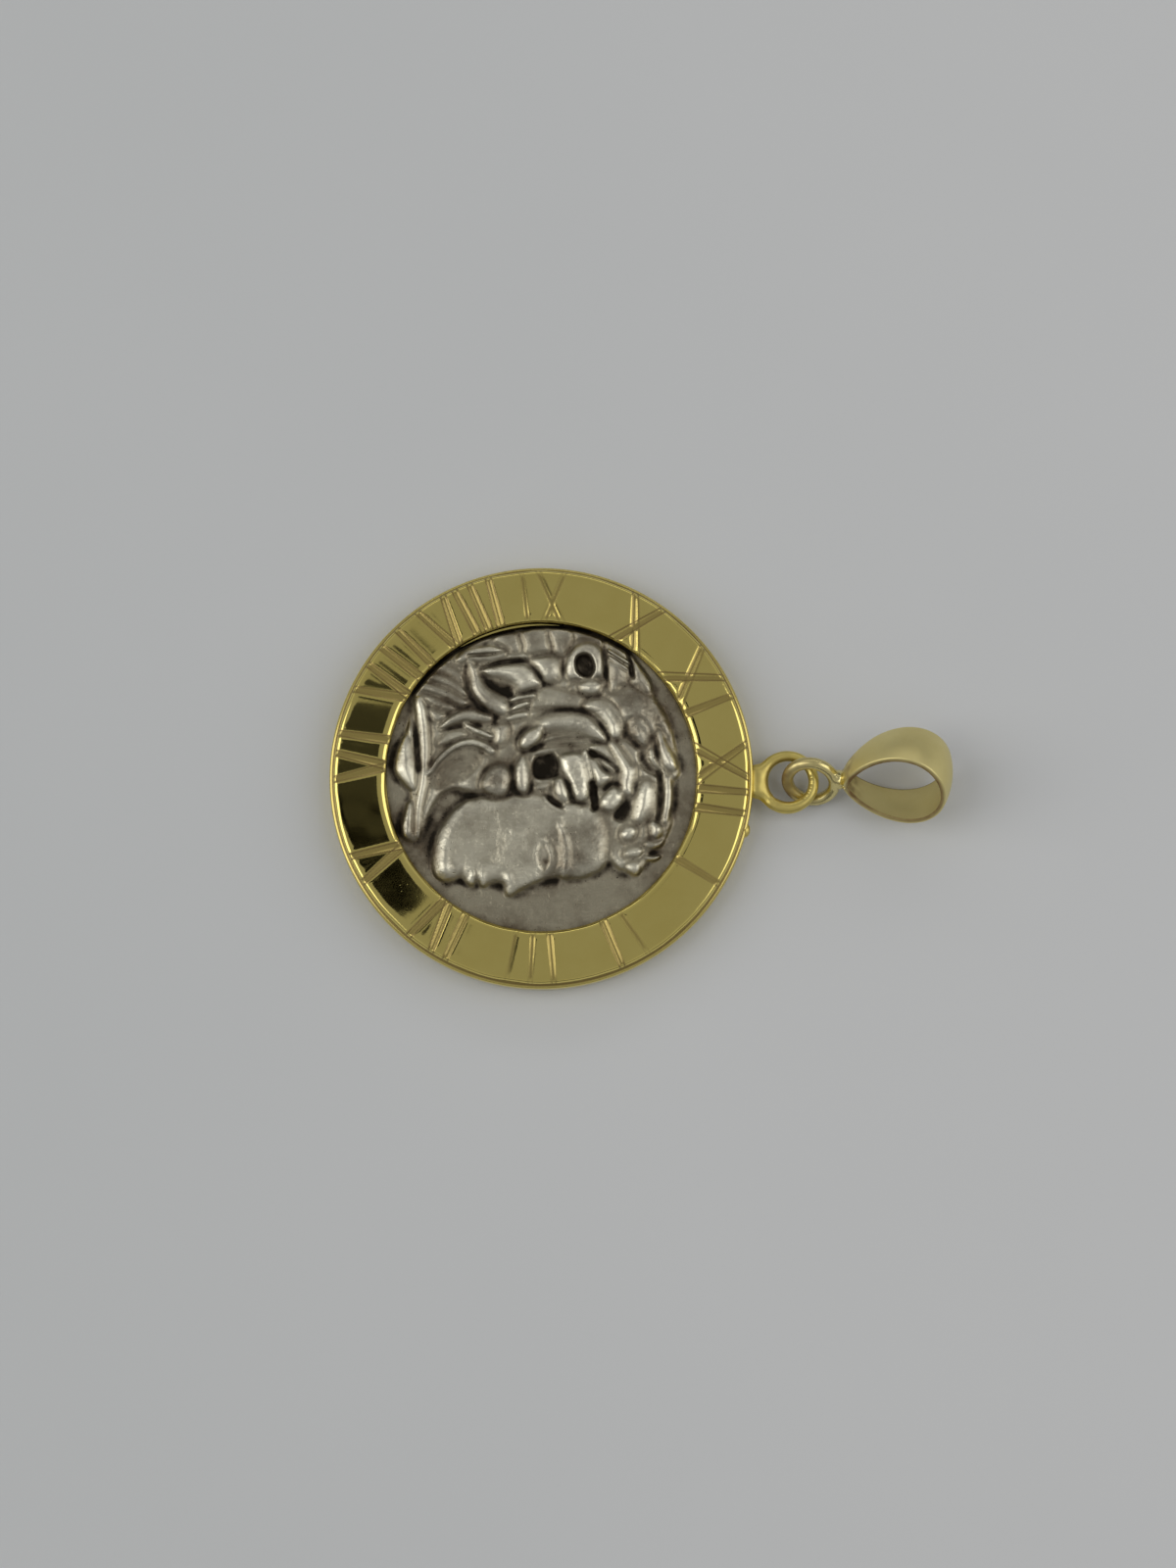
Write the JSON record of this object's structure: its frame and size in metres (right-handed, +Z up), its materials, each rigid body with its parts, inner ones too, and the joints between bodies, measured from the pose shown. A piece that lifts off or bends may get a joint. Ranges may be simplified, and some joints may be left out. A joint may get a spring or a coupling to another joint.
{
  "type": "coin pendant",
  "caption": "Small silver coin with a raised head in a lion's skin, held in a round gold frame cut with hour numerals, on a teardrop bail linked by two soldered rings.",
  "frame": {"origin": "middle of the pendant's whole length and width, on the surface that it lies on", "axes": "+X towards the bail, which is the top when worn; +Z up out of the coin's face; +Y to the left of the upright head"},
  "size_m": [0.0352, 0.024, 0.0054],
  "materials": {
    "silver": "worn struck silver, dark patina in the hollows",
    "gold": "polished yellow gold"
  },
  "bodies": {
    "root": {"coin": "silver", "frame": "gold", "bail": "gold"}
  },
  "joints": []
}
